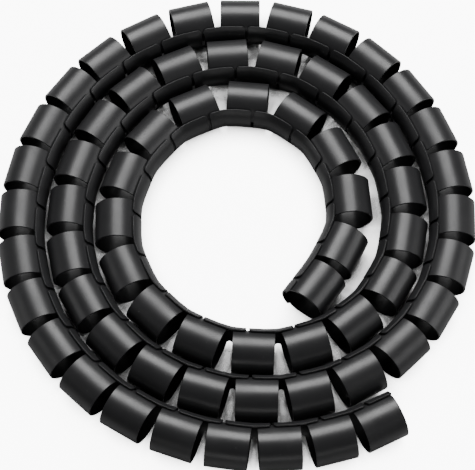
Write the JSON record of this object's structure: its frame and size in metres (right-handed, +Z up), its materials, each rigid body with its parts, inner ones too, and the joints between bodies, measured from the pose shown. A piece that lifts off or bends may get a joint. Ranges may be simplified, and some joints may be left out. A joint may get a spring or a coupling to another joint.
{
  "type": "spiral cable wrap",
  "caption": "Length of slotted flexible plastic tube for bundling cables, laid in a flat coil, with open rings on a spine and lips that close over them.",
  "frame": {"origin": "middle of the coil's bounding box, on the level surface that the coil lies on", "axes": "+Z up out of the flat coil; seen from above, the tube runs anticlockwise from its inner end outwards, and -Y points to the side where both ends are"},
  "size_m": [0.2426, 0.2626, 0.022],
  "materials": {
    "wrap_plastic": "black, satin, moulded"
  },
  "bodies": {
    "root": {"cable_wrap": "wrap_plastic"}
  },
  "joints": []
}
